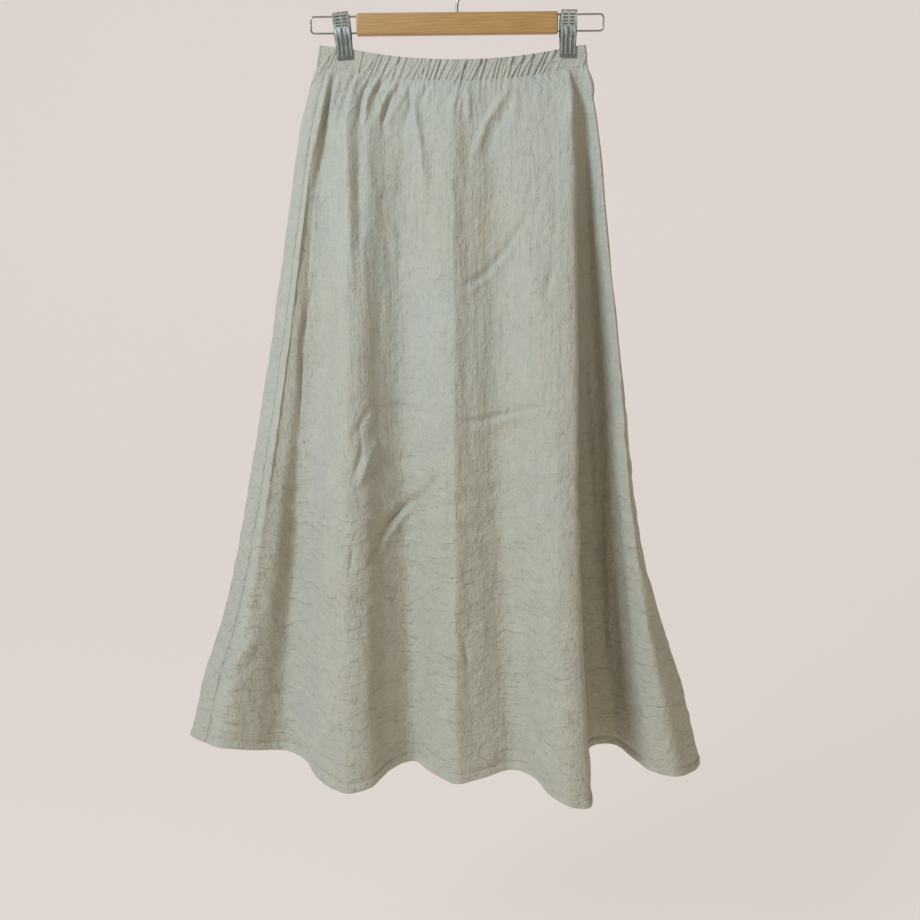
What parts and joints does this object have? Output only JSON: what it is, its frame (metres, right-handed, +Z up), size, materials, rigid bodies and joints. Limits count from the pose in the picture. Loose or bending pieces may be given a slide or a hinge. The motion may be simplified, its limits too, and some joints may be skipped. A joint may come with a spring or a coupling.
{
  "type": "maxi skirt on a clip hanger",
  "caption": "Flared linen maxi skirt with a gathered elastic waistband, hung by spring clips from a wooden bar hanger with a wire hook; hollow, open at waist and hem.",
  "frame": {"origin": "inner top of the hanger's hook, where the rail carries it", "axes": "+Z up, against gravity; the skirt's front faces -Y; +X to the right for someone who faces the front"},
  "size_m": [0.667, 0.2498, 1.0042],
  "materials": {
    "linen": "washed, slubby plain-weave linen, grey sage to oatmeal, softly creased",
    "linen_band": "the same linen, gathered on elastic",
    "beech": "clear satin varnish over light hardwood",
    "steel_wire": "bright plated wire",
    "clip_steel": "bright plated pressed steel, ribbed and dimpled",
    "spring_steel": "dull spring wire"
  },
  "bodies": {
    "root": {"skirt_front": "linen", "skirt_back": "linen", "waistband": "linen_band", "wood_bar": "beech", "hook": "steel_wire", "wire_left": "steel_wire", "wire_right": "steel_wire", "clip_left_front_jaw": "clip_steel", "clip_left_back_jaw": "clip_steel", "clip_left_spring": "spring_steel", "clip_right_front_jaw": "clip_steel", "clip_right_back_jaw": "clip_steel", "clip_right_spring": "spring_steel"}
  },
  "joints": []
}
